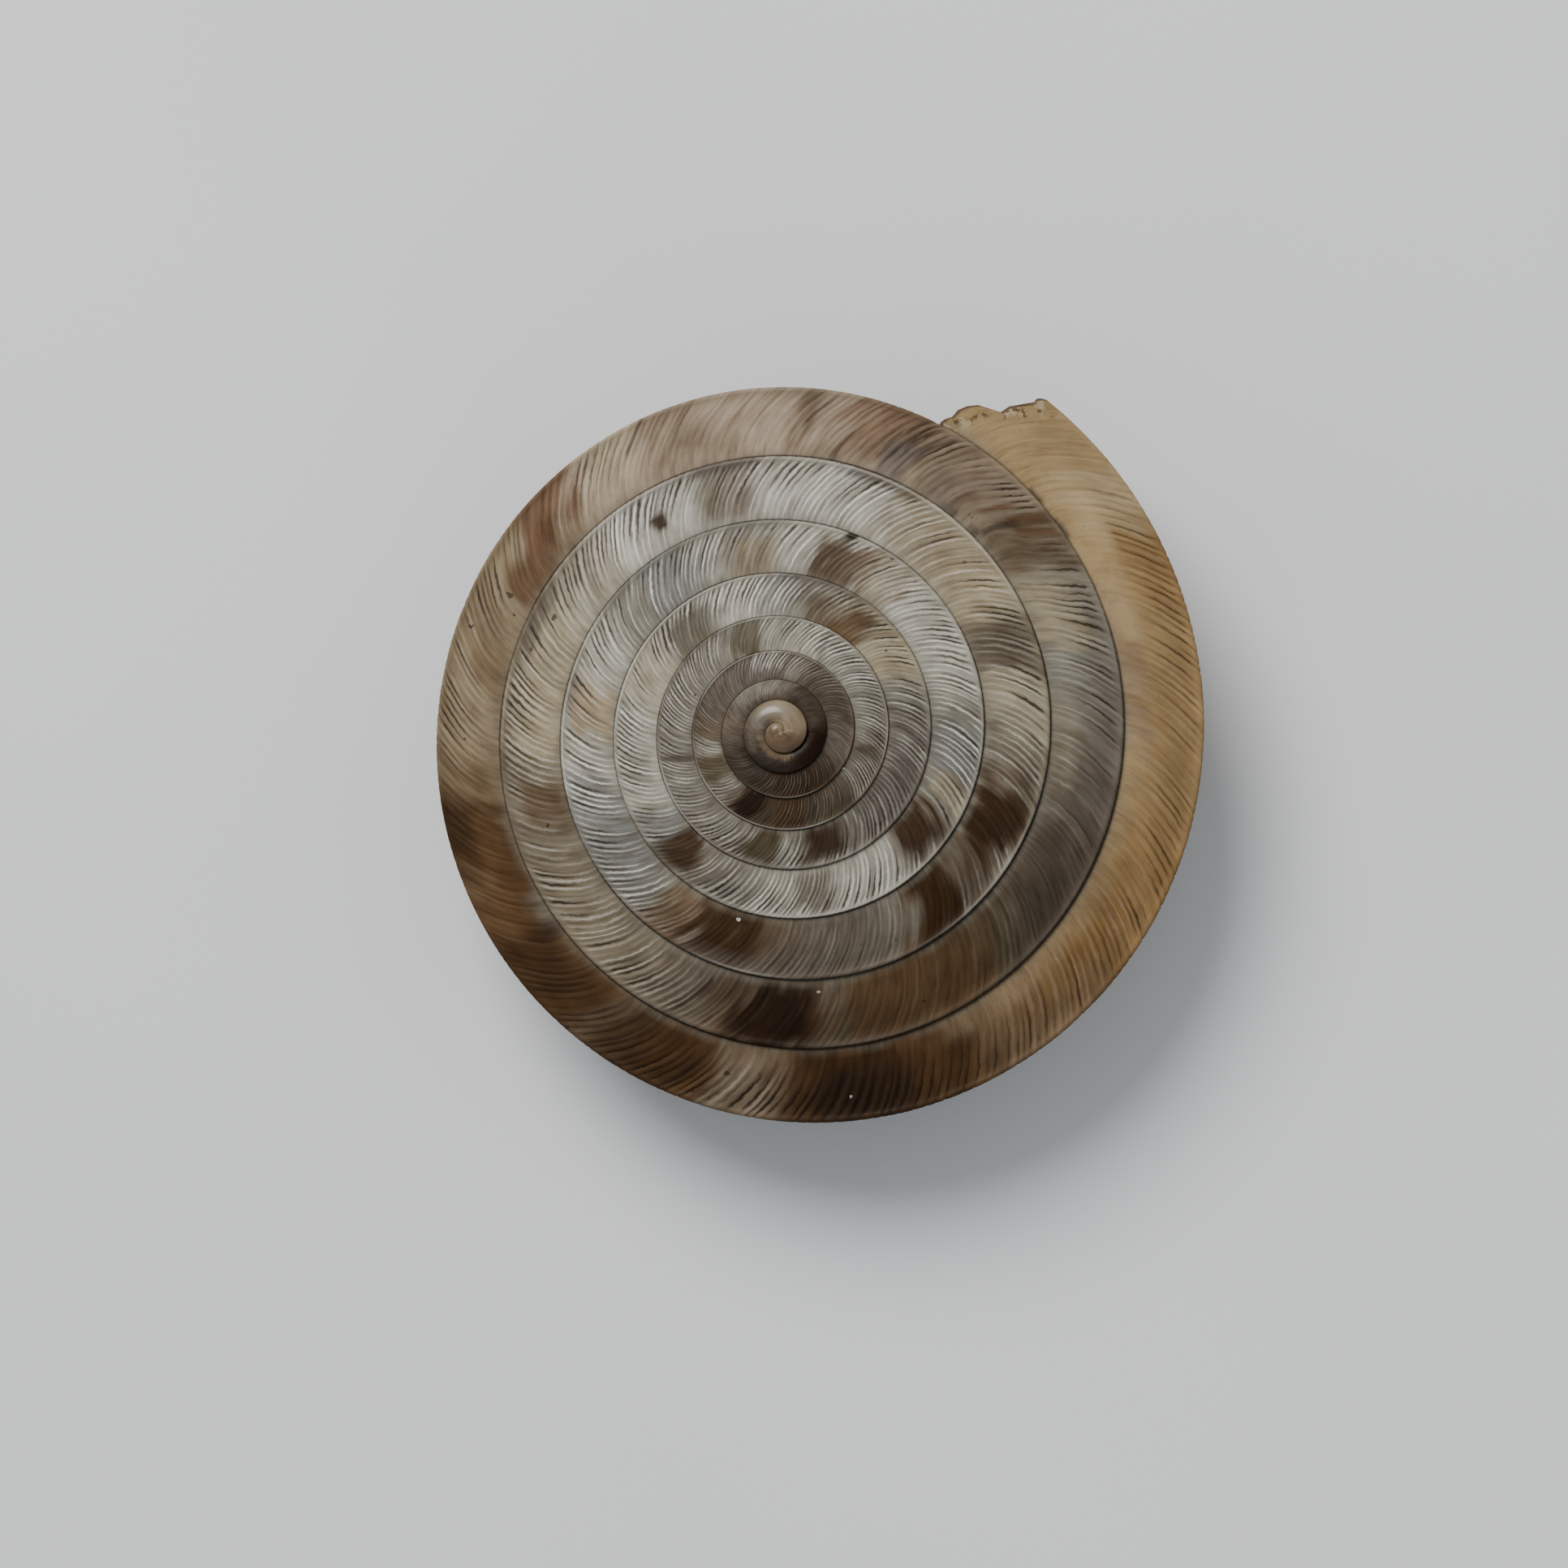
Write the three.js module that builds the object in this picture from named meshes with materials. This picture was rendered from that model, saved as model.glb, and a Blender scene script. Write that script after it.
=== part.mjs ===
// Empty shell of the land snail Laeocathaica pewzowi: a low, left-coiled spiral of nine whorls with a blunt
// keel, a wide umbilicus and a broken lip. Millimetres, +Z up, resting on its base.
// Every point is given by its turns from the apex and by a column that runs across the whorl: from the suture
// over the keel and the base to the umbilicus. Turns run counter-clockwise seen from above, from +X.
import * as THREE from 'three';

// Size of the coil, one value after each full turn from the apex.
const KEEL_RADII = [0.1, 0.69, 1.19, 1.9, 2.76, 3.82, 5.14, 6.77, 8.56, 10.49, 12.68];
const KEEL_HEIGHTS = [7.7, 7.58, 7.4, 7.17, 6.9, 6.58, 6.22, 5.82, 5.4, 5.0, 4.62];
const BASE_HEIGHTS = [6.9, 6.6, 6.2, 5.75, 5.15, 4.45, 3.65, 2.7, 1.6, 0.4, -0.9];
const UMBILICUS_SHARE = 0.31;
const FIRST_TURNS = 0.04;
const LIP_TURNS = 9 + 62.5 / 360;

// The later whorls are not quite centred on the apex, and are slightly oval.
const DRIFT_AZIMUTH = THREE.MathUtils.degToRad(349);
const DRIFT_PER_RADIUS = 0.011;
const DRIFT_PER_SQUARE = 0.00464;
const OVAL_AZIMUTH = THREE.MathUtils.degToRad(106.5);
const OVAL_PER_SQUARE = 0.0006;

// The lip makes the whole shell lean when it rests.
const LEAN_SLOPE = 0.043;
const LEAN_AZIMUTH = THREE.MathUtils.degToRad(27);
const FLOOR_HEIGHT = 0.6;

// Relief of the upper side, as shares of the whorl's visible width.
const SUTURE_DEPTH = 0.07;
const KEEL_RISE = 0.05;
const TOP_SWELL = 0.05;
const FIRST_KEELED_TURN = 1.5;
const APEX_HEIGHT = 7.72;

const WALL = 0.35;
const CAVITY_TURNS = 1;
const FIRST_UMBILICUS_TURN = 3;
const PIT_HEIGHT = 6.6;

// The surface has this many rows in a turn. Growth lines lag behind by one row between suture and keel.
const ROWS_PER_TURN = 45;
const KEEL_LAG = 360 / ROWS_PER_TURN;

// Columns of one whorl. across runs from the suture to the keel on top, and from the umbilicus to the keel below;
// up runs from the base to the keel; lag is in degrees; chip is how far the broken lip is set back, in degrees.
const TOP_COLUMNS = [
  { across: 0.2, lag: 1, chip: -0.4 },
  { across: 0.55, lag: 3.7, chip: 3.9 },
  { across: 0.86, lag: 6.6, chip: 2.5 },
];
const KEEL_CHIPS = [2.3, 2.6];
const UNDER_COLUMNS = [
  { across: 0.99, up: 0.9, lag: KEEL_LAG, chip: 1.2 },
  { across: 0.965, up: 0.66, lag: 8.5, chip: 3.4 },
  { across: 0.91, up: 0.42, lag: 9, chip: 1.6 },
  { across: 0.82, up: 0.2, lag: 9.5, chip: 4.2 },
  { across: 0.7, up: 0, lag: 10, chip: 2.8 },
  { across: 0.57, up: 0, lag: 10, chip: 3.6 },
  { across: 0.44, up: 0.05, lag: 10, chip: 0.8 },
  { across: 0.3, up: 0.14, lag: 9.5, chip: 2.2 },
  { across: 0.17, up: 0.28, lag: 9, chip: 0.6 },
  { across: 0.11, up: 0.44, lag: KEEL_LAG, chip: 0 },
  { across: 0.05, up: 0.62, lag: KEEL_LAG, chip: 0 },
];
const UMBILICUS_TOP = { across: 0.02, up: 0.8 };

const TURN_ANGLE = 2 * Math.PI;
const ROW_COUNT = Math.floor((LIP_TURNS - FIRST_TURNS) * ROWS_PER_TURN);
const LAST_TOP = TOP_COLUMNS.length;
const KEEL = LAST_TOP + 1;
const SEAT = KEEL + 1;
const CORNER = SEAT + 1;
const ATTACH = SEAT + UNDER_COLUMNS.length - 1;
const INSET = ATTACH - 2;
const END = ATTACH + 2;
const COLUMN_LAGS = [
  0, ...TOP_COLUMNS.map((column) => column.lag), KEEL_LAG, KEEL_LAG, ...UNDER_COLUMNS.map((column) => column.lag),
  KEEL_LAG,
];
const COLUMN_CHIPS = [
  0, ...TOP_COLUMNS.map((column) => column.chip), ...KEEL_CHIPS, ...UNDER_COLUMNS.map((column) => column.chip), 0,
];

function spline(values) {
  return new THREE.SplineCurve(values.map((value, turn) => new THREE.Vector2(turn, value)));
}

const radiusCurve = spline(KEEL_RADII);
const heightCurve = spline(KEEL_HEIGHTS);
const baseCurve = spline(BASE_HEIGHTS);

function valueAt(curve, turns) {
  return curve.getPoint(turns / (curve.points.length - 1)).y;
}

// How far the whorl is moved away from the apex at these turns.
function drift(turns) {
  const radius = valueAt(radiusCurve, turns);
  const azimuth = turns * TURN_ANGLE;
  const shift = DRIFT_PER_RADIUS * radius + DRIFT_PER_SQUARE * radius * radius;
  const oval = OVAL_PER_SQUARE * radius * radius;
  return shift * Math.cos(azimuth - DRIFT_AZIMUTH) + oval * Math.cos(2 * (azimuth - OVAL_AZIMUTH));
}

function keelRadius(turns) {
  return valueAt(radiusCurve, turns) + drift(turns);
}

function whorlWidth(turns) {
  return turns < 1 ? keelRadius(turns) : keelRadius(turns) - keelRadius(turns - 1);
}

// Just below the keel, where the next whorl is attached. x is the radius and y the height.
function seatPoint(turns) {
  const depth = SUTURE_DEPTH * whorlWidth(turns);
  return new THREE.Vector2(keelRadius(turns), valueAt(heightCurve, turns) - depth);
}

function topPoint(turns, across) {
  const inner = turns < 1 ? new THREE.Vector2(0, APEX_HEIGHT) : seatPoint(turns - 1);
  const width = whorlWidth(turns);
  const keeled = THREE.MathUtils.smoothstep(turns, FIRST_KEELED_TURN, FIRST_KEELED_TURN + 0.5);
  const outer = new THREE.Vector2(keelRadius(turns), valueAt(heightCurve, turns) - keeled * KEEL_RISE * width);
  const point = inner.lerp(outer, across);
  point.y += 4 * TOP_SWELL * width * across * (1 - across);
  return point;
}

function underPoint(turns, { across, up }) {
  const umbilicus = UMBILICUS_SHARE * valueAt(radiusCurve, turns) + drift(turns);
  const base = valueAt(baseCurve, turns);
  return new THREE.Vector2(
    THREE.MathUtils.lerp(umbilicus, keelRadius(turns), across),
    THREE.MathUtils.lerp(base, valueAt(heightCurve, turns), up),
  );
}

// One point of the outer surface, as radius and height, in the upright section at these turns.
function sectionPoint(turns, column) {
  if (column === 0) {
    return turns < 1 ? new THREE.Vector2(0, APEX_HEIGHT) : seatPoint(turns - 1);
  }
  if (column <= LAST_TOP) {
    return topPoint(turns, TOP_COLUMNS[column - 1].across);
  }
  if (column === KEEL) {
    return new THREE.Vector2(keelRadius(turns), valueAt(heightCurve, turns));
  }
  if (column === SEAT) {
    return seatPoint(turns);
  }
  if (column < END) {
    return underPoint(turns, UNDER_COLUMNS[column - CORNER]);
  }
  if (turns - 1 < FIRST_UMBILICUS_TURN - KEEL_LAG / 360) {
    return underPoint(turns, UMBILICUS_TOP);
  }
  return sectionPoint(turns - 1, ATTACH);
}

// The same point on the inside of the wall.
function linedPoint(turns, column) {
  const before = sectionPoint(turns, column - 1);
  const after = sectionPoint(turns, column + 1);
  const along = after.sub(before).normalize();
  const inward = new THREE.Vector2(along.y, -along.x);
  return sectionPoint(turns, column).addScaledVector(inward, WALL);
}

function place({ x: radius, y: height }, turns) {
  const azimuth = turns * TURN_ANGLE;
  const lean = LEAN_SLOPE * radius * Math.cos(azimuth - LEAN_AZIMUTH);
  const settled = Math.max(0, height + lean - FLOOR_HEIGHT);
  return [radius * Math.cos(azimuth), radius * Math.sin(azimuth), settled];
}

const positions = [];
const triangles = [];
const vertexNumbers = new Map();

function addVertex(key, makePoint) {
  if (!vertexNumbers.has(key)) {
    vertexNumbers.set(key, positions.length / 3);
    positions.push(...makePoint());
  }
  return vertexNumbers.get(key);
}

function turnsAt(row, column) {
  const grown = LIP_TURNS - (ROW_COUNT - row) / ROWS_PER_TURN;
  const chip = row === ROW_COUNT ? COLUMN_CHIPS[column] : 0;
  return grown - (COLUMN_LAGS[column] + chip) / 360;
}

const FIRST_UMBILICUS_ROW = FIRST_UMBILICUS_TURN * ROWS_PER_TURN;
const FIRST_CAVITY_ROW = ROW_COUNT - CAVITY_TURNS * ROWS_PER_TURN;
const FIRST_COVERED_ROW = FIRST_CAVITY_ROW - ROWS_PER_TURN;

function apex() {
  return addVertex('apex', () => [0, 0, APEX_HEIGHT - FLOOR_HEIGHT]);
}

// The suture is the seat of the whorl before, and the inner end of the base lies on that whorl too.
function outer(row, column) {
  if (column === 0) {
    const seatRow = row - ROWS_PER_TURN + 1;
    return seatRow < 0 ? apex() : outer(seatRow, SEAT);
  }
  if (column === END && row >= FIRST_UMBILICUS_ROW + ROWS_PER_TURN) {
    return outer(row - ROWS_PER_TURN, ATTACH);
  }
  const turns = turnsAt(row, column);
  return addVertex(`outer ${row} ${column}`, () => place(sectionPoint(turns, column), turns));
}

// The inside has one corner where the outside has the keel and the seat.
const LINED_COLUMNS = [];
for (let column = 1; column <= INSET; column += 1) {
  if (column !== KEEL && column !== SEAT) {
    LINED_COLUMNS.push(column);
  }
}

// Vertices of the cavity's section at one row, from the corner below the suture round to the umbilicus.
function cavitySection(row) {
  const lined = LINED_COLUMNS.map((column) => {
    const turns = turnsAt(row, column);
    return addVertex(`lined ${row} ${column}`, () => place(linedPoint(turns, column), turns));
  });
  return [outer(row - ROWS_PER_TURN + 1, CORNER), ...lined, outer(row - ROWS_PER_TURN, INSET)];
}

function addTriangle(a, b, c) {
  if (a !== b && b !== c && c !== a) {
    triangles.push(a, b, c);
  }
}

function addQuad(a, b, c, d) {
  addTriangle(a, b, c);
  addTriangle(a, c, d);
}

function addStrip(firstRow, firstColumn, lastColumn) {
  for (let row = firstRow; row < ROW_COUNT; row += 1) {
    for (let column = firstColumn; column < lastColumn; column += 1) {
      addQuad(outer(row, column), outer(row, column + 1), outer(row + 1, column + 1), outer(row + 1, column));
    }
  }
}

// The far end of the cavity, between its own section and the whorl before, facing towards the lip.
function addBackWall() {
  const inside = cavitySection(FIRST_CAVITY_ROW);
  let column = CORNER + 1;
  for (let side = 0; side + 1 < inside.length; side += 1) {
    addTriangle(inside[side], inside[side + 1], outer(FIRST_COVERED_ROW + 1, column));
    if (LINED_COLUMNS[side] > CORNER && column < INSET) {
      addTriangle(outer(FIRST_COVERED_ROW + 1, column), inside[side + 1], outer(FIRST_COVERED_ROW + 1, column + 1));
      column += 1;
    }
  }
}

function addOuterSurface() {
  addStrip(0, 0, SEAT);
  addStrip(ROW_COUNT - ROWS_PER_TURN + 1, SEAT, CORNER);
  addStrip(FIRST_COVERED_ROW + 1, CORNER, INSET);
  addStrip(ROW_COUNT - ROWS_PER_TURN, INSET, ATTACH);
  addStrip(FIRST_UMBILICUS_ROW, ATTACH, END);
  for (let column = 1; column < SEAT; column += 1) {
    addTriangle(apex(), outer(0, column + 1), outer(0, column));
  }
}

function addUmbilicusTop() {
  const pit = addVertex('pit', () => [0, 0, PIT_HEIGHT - FLOOR_HEIGHT]);
  for (let step = 0; step < ROWS_PER_TURN; step += 1) {
    const row = FIRST_UMBILICUS_ROW + step;
    addTriangle(pit, outer(row + 1, END), outer(row, END));
  }
  for (let column = END; column > ATTACH; column -= 1) {
    addTriangle(pit, outer(FIRST_UMBILICUS_ROW, column), outer(FIRST_UMBILICUS_ROW, column - 1));
  }
}

function addCavity() {
  let section = cavitySection(FIRST_CAVITY_ROW);
  for (let row = FIRST_CAVITY_ROW + 1; row <= ROW_COUNT; row += 1) {
    const next = cavitySection(row);
    for (let side = 0; side + 1 < section.length; side += 1) {
      addQuad(next[side], next[side + 1], section[side + 1], section[side]);
    }
    section = next;
  }
}

// The broken edge of the lip, from the suture over the keel and the base to the umbilicus.
function addLip() {
  const inside = cavitySection(ROW_COUNT);
  let side = 0;
  for (let column = 0; column < END; column += 1) {
    const nextSide = LINED_COLUMNS.includes(column + 1) ? side + 1 : side;
    addTriangle(outer(ROW_COUNT, column), outer(ROW_COUNT, column + 1), inside[nextSide]);
    addTriangle(outer(ROW_COUNT, column), inside[nextSide], inside[side]);
    side = nextSide;
  }
  const rowBefore = ROW_COUNT - ROWS_PER_TURN;
  addTriangle(outer(ROW_COUNT, END), outer(rowBefore, ATTACH - 1), inside[side]);
  addTriangle(outer(rowBefore, ATTACH - 1), inside[side + 1], inside[side]);
}

addOuterSurface();
addUmbilicusTop();
addBackWall();
addCavity();
addLip();

const geometry = new THREE.BufferGeometry();
geometry.setAttribute('position', new THREE.Float32BufferAttribute(positions, 3));
geometry.setIndex(triangles);
geometry.computeBoundingBox();
const middle = geometry.boundingBox.getCenter(new THREE.Vector3());
geometry.translate(-middle.x, -middle.y, 0);

const material = new THREE.MeshStandardMaterial({ color: '#b39a7c', roughness: 0.6, metalness: 0 });
const shell = new THREE.Mesh(geometry, material);
shell.name = 'shell';

const group = new THREE.Group();
group.add(shell);
export default group;
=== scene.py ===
"""Empty shell of the land snail Laeocathaica pewzowi, seen from straight above on a plain pale floor.

One mesh of the whole shell replaces the plain solid. It is swept row by row along the coil: a row is one
growth line, three or four rows make one rib, and the columns run from the suture over the keel and the base
to the umbilicus. Lengths are in millimetres until the mesh is made. Turns are counted from the apex,
counter-clockwise from +X. Across is 0 at the suture, 1 just below the keel and 2 in the umbilicus.
"""
import math

import bpy
import numpy as np
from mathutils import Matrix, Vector


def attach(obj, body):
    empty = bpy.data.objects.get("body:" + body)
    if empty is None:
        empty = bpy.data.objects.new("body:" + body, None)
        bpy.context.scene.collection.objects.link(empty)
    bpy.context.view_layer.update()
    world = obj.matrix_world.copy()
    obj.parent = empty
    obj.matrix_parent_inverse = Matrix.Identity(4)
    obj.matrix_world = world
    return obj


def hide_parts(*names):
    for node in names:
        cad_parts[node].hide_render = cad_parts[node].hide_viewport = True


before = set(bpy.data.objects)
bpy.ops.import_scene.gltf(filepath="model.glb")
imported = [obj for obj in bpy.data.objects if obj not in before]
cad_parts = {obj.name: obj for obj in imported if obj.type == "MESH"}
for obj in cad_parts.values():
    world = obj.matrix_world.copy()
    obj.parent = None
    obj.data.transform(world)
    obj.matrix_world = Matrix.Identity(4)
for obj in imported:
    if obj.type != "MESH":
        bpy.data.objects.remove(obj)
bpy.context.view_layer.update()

MM = 0.001
TURN = 2 * math.pi
TINY = 1e-9

# The coil, one value after each full turn from the apex, as in the solid.
KEEL_RADII = (0.1, 0.69, 1.19, 1.9, 2.76, 3.82, 5.14, 6.77, 8.56, 10.49, 12.68)
KEEL_HEIGHTS = (7.7, 7.58, 7.4, 7.17, 6.9, 6.58, 6.22, 5.82, 5.4, 5.0, 4.62)
BASE_HEIGHTS = (6.9, 6.6, 6.2, 5.75, 5.15, 4.45, 3.65, 2.7, 1.6, 0.4, -0.9)
UMBILICUS_SHARE = 0.31
FIRST_TURNS = 0.04
LIP_TURNS = 9 + 62.5 / 360
PAST_LIP = 0.001
APEX_HEIGHT = 7.72
APEX_PLACE = (-1.047, 0.602)
PIT_HEIGHT = 6.6

# The later whorls are not quite centred on the apex, and are slightly oval.
DRIFT_AZIMUTH = math.radians(349)
DRIFT_PER_RADIUS = 0.011
DRIFT_PER_SQUARE = 0.00464
OVAL_AZIMUTH = math.radians(106.5)
OVAL_PER_SQUARE = 0.0006

LEAN_SLOPE = 0.043
LEAN_AZIMUTH = math.radians(27)
FLOOR_HEIGHT = 0.6

# Relief of the upper side, as shares of the whorl's visible width. The first whorls are rounder, and the
# keel thread takes the last four columns.
SUTURE_DEPTH = 0.07
KEEL_RISE = 0.05
TOP_SWELL = 0.05
ROUND_SUTURE = 0.2
ROUND_FOOT = 0.1
ROUND_SWELL = 0.12
THREAD_PROFILE = (0, 0.55, 1, 0.75)

# The first column is tucked in below the suture: how far, and how much of that goes inwards and down.
TUCK = 0.08
TUCK_SHARES = (0.3, 1.0)

# Ribs: how far apart they are along the coil, how deep the troughs between them are as a share of that, and
# how far the growth lines sweep back across a whorl.
RIB_TURNS = (1.5, 3.5, 4.5, 5.5, 6.5, 7.5, 8.5, 9.2)
RIB_SPACINGS = (0.07, 0.085, 0.11, 0.135, 0.16, 0.18, 0.22, 0.235)
RIB_RANGE = (0.7, 1.35)
TROUGH_SHARE = 0.19
UNEVENNESS = 0.01
WAVINESS = 0.08
FIRST_RIB_TURNS = 1.45
SMOOTH_ROW_TURNS = 1 / 72
SLANT_TURNS = (0, 5, 8.1, 8.5, 8.64, 8.72, 8.8, 8.92, 9.02, 9.12, 9.2)
SLANTS = (0.45, 0.56, 0.6, 0.95, 0.95, 0.68, 0.45, 0.58, 0.75, 0.86, 0.85)
SLANT_POWER = 1.5

# Rows of one rib: part of the way to the next groove, and height. From this turn on the ribs are broader.
BROAD_RIB_TURNS = 8.1
RIB = ((0.0, 0.0), (0.28, 0.9), (0.68, 1.0))
BROAD_RIB = ((0.0, 0.0), (0.18, 0.75), (0.5, 1.0), (0.82, 0.75))
LAST_ROW_HEIGHT = 0.5

# Ribs are weaker than 1 in these places. By the suture they start at a share, and less on the last whorl.
WEAK_LOSS = 0.5
SUTURE_RIBS = 0.15
SUTURE_RIBS_LATE = 0.1
SUTURE_FADE = (0.01, 0.28)
SUTURE_FADE_LATE = 0.22
THREAD_LOSS = 0.55
COVERED_THREAD_LOSS = 0.8
BASE_LOSS = 0.45
LIP_RIBS = 0.15
CHALKY_LOSS = 0.9
ROUGH_LOSS = 0.7

# How uneven things are from one rib to the next: mean, own share, share that drifts along the coil, least.
UNEVEN = {"grooves": (0.58, 0.8, 0.35, 0.08), "ribs": (0.45, 0.75, 0.35, 0.05)}

WALL = 0.28
LIP_WALL = 0.12
LIP_WALL_ROWS = 2
CAVITY_TURNS = 0.6
PARIETAL_TURNS = 1.45
EXPOSED_TURNS = 1.012
INNER_ROW_STEP = 8
UMBILICUS_ROW_STEP = 2
SEAM_STEPS = 6
FIRST_UMBILICUS_TURN = 3

TOP_ACROSS = (0.0, 0.03, 0.08, 0.16, 0.27, 0.37, 0.45, 0.53, 0.65, 0.78, 0.88, 0.935, 0.968, 1.0)
# Corners of the section below the keel: across from the umbilicus to the keel, up from the base to the keel.
UNDER_CORNERS = (
    (0.99, 0.9), (0.965, 0.66), (0.91, 0.42), (0.82, 0.2), (0.7, 0.04), (0.57, 0.0),
    (0.44, 0.05), (0.3, 0.14), (0.17, 0.28), (0.11, 0.44), (0.05, 0.62),
)
ATTACH_CORNER = 10
HIDDEN_CORNER = 8
LAST_CORNER = len(UNDER_CORNERS) + 1
CORNER_STEPS = 2

# How far the broken lip is set back behind the last growth line, in degrees, at the columns of the upper
# side and then at the corners below. It is calm as far across as this, and rougher beyond.
LIP_CHIPS = (0, 0, 0, 0.5, 0, 0.3, 0.9, 3.3, 2.4, 2.1, 1.8, 1.3, 1.0, 1.4)
LIP_UNDER_CHIPS = (1.9, 2.9, 1.6, 4.7, 3.8, 4.6, 1.8, 2.7, 0.6, 0, 0, 0)
LIP_ROUGHNESS = 0.15
LIP_CALM_ACROSS = 0.25

# Two eroded patches beside the suture, not far from the lip as seen from above: middle and half-length in
# turns, and how far across they reach. Their edges are ragged and soft.
CHALKY_PATCH = (9.065, 0.045, 0.58)
ROUGH_PATCH = (8.13, 0.042, 0.85)
PATCH_RAGGED = 0.3
PATCH_CORE = 0.4
PATCH_WAVER = 0.1
PATCH_FADE = 0.23

# Around the second patch the growth lines sway, in turns, and the surface is uneven.
ROUGH_SWAY = 0.0035
ROUGH_RELIEF = 0.04

# Zones: where something starts and is full and, if it ends, where it fades and ends. The first are in turns.
ZONES = {
    "keeled": (1.8, 3.4), "wavy": (1.5, 3), "ribbed": (FIRST_RIB_TURNS, 3.2), "late ribs": (8.0, 8.6),
    "weak ribs": (8.2, 8.24, 8.32, 8.38), "weak again": (8.48, 8.54, 8.6, 8.68),
    "rough": (8.03, 8.09, 8.19, 8.24), "even mottle": (1.3, 2.0), "early ribs": (2.0, 2.3, 3.9, 4.4),
    "hazy keel": (3.4, 4.0), "hazy suture": (5.0, 6.5), "broad": (7.8, 8.05), "amber": (8.9, 8.98),
    # The suture zones place the painted shade in the suture crease.
    "crisp": (8.64, 8.7, 8.82, 8.94), "suture": (0.3, 2.0), "faint suture shade": (8.7, 9.0),
    # Across the whorl.
    "keel": (0.9, 0.95, 1.04, 1.12), "base": (1.25, 1.5), "lumpy": (0.05, 0.2, 0.75, 0.9),
    "outer part": (0.2, 0.8), "side": (1.0, 1.2), "by keel": (0.66, 0.86), "off suture": (0.03, 0.13),
    "cream base": (1.25, 1.6), "suture shade outside": (0.99, 1.03, 1.06, 1.2), "suture shade inside": (0.0, 0.03),
    # In degrees behind the lip.
    "behind lip": (1.5, 28), "behind break": (0.1, 6),
    # Of a noise, or of how light or blue the wall is.
    "keel patches": (-0.1, 0.7), "early patches": (-0.3, 0.5), "light": (0.025, 0.16), "blue": (0.66, 0.82),
}

# Noises on the shell: bumps per rib along the coil and per whorl across it, and a seed. Those of the eroded
# patches count bumps per turn.
NOISES = {
    "patch ends": (90, 5, 3), "patch side": (70, 3, 4),
    "waves": (0.8, 5, 26), "sway": (0.13, 3.5, 31), "lumps": (0.5, 6, 32), "uneven wall": (0.23, 2, 6),
    "own grooves": (5.37, 1.7, 15), "drifting grooves": (0.11, 1.6, 5),
    "own ribs": (3.71, 1.8, 21), "drifting ribs": (0.1, 1.4, 28), "early ribs": (0.045, 0.8, 27),
    "ground": (0.13, 1, 11), "clouds": (0.09, 1.6, 14), "mottle": (0.4, 4.5, 30),
    "broad edge": (0.25, 2, 12), "fine edge": (0.8, 3, 13), "rib edge": (1.7, 2.5, 29),
    "keel haze": (0.055, 0.8, 16), "keel thread": (0.07, 1, 24),
    "suture edge": (0.3, 1, 17), "suture haze": (0.08, 1, 18), "suture shade line": (0.15, 0, 25),
}

# Colours that the wall shows in daylight, 0 to 255.
COLOURS = {
    "chalk white": (190, 188, 178), "white": (172, 169, 156), "cream": (168, 156, 128),
    "grey": (131, 127, 115), "slate": (122, 123, 120), "tan": (138, 122, 96),
    "putty": (128, 117, 98), "fawn": (112, 91, 66), "ochre": (146, 122, 84),
    "amber": (158, 130, 88), "bronze": (122, 92, 52), "honey": (176, 156, 120),
    "rose": (142, 124, 106), "russet": (104, 74, 50), "brown": (86, 62, 36),
    "taupe": (98, 87, 73), "olive": (82, 72, 52), "mauve": (100, 91, 84),
    "blush": (162, 145, 124), "umber": (68, 58, 47), "sepia": (56, 35, 10),
    "black": (34, 17, 4), "horn": (142, 124, 98),
}
# The wall gives back this share of what such a colour stands for.
DAYLIGHT = 0.76

# The ground colour along the coil: at these turns, or from the first to the second, and blended in between.
GROUND = (
    (0.0, 0.3, "horn"), (0.5, 0.9, "fawn"), (1.1, 1.3, "horn"), (1.42, 1.55, "taupe"),
    # From 1.86 to 1.98 turns the black is dark colour with painted shadow, on the lower right of the apex
    # dome.
    (1.62, 1.78, "umber"), (1.86, 1.98, "black"), (2.05, 2.2, "umber"),
    (2.26, 2.5, "taupe"), (2.58, 2.9, "umber"), (2.97, 3.2, "taupe"),
    (3.28, "mauve"), (3.5, 3.65, "taupe"), (3.72, 3.85, "umber"), (3.9, "taupe"),
    (4.05, "grey"), (4.2, "white"), (4.3, 5.05, "grey"), (5.1, "cream"), (5.2, "grey"), (5.3, "white"),
    (5.35, "grey"), (5.45, 5.56, "white"), (5.62, "grey"), (5.85, "white"), (5.9, 6.0, "grey"),
    (6.08, 6.2, "white"), (6.28, 6.4, "grey"), (6.43, 6.55, "white"), (6.6, "grey"), (6.7, "putty"),
    (6.76, "taupe"), (6.9, "grey"), (7.1, "cream"), (7.2, 7.36, "white"), (7.44, "cream"),
    (7.52, 7.62, "putty"), (7.72, "taupe"), (7.84, "olive"), (7.94, "taupe"),
    (8.05, "grey"), (8.16, "tan"), (8.22, 8.36, "blush"), (8.4, 8.5, "tan"), (8.58, "fawn"),
    (8.66, 8.82, "brown"), (8.85, "fawn"), (8.9, "bronze"), (8.98, 9.2, "amber"),
)
GROUND_DRIFT = 0.02
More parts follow.
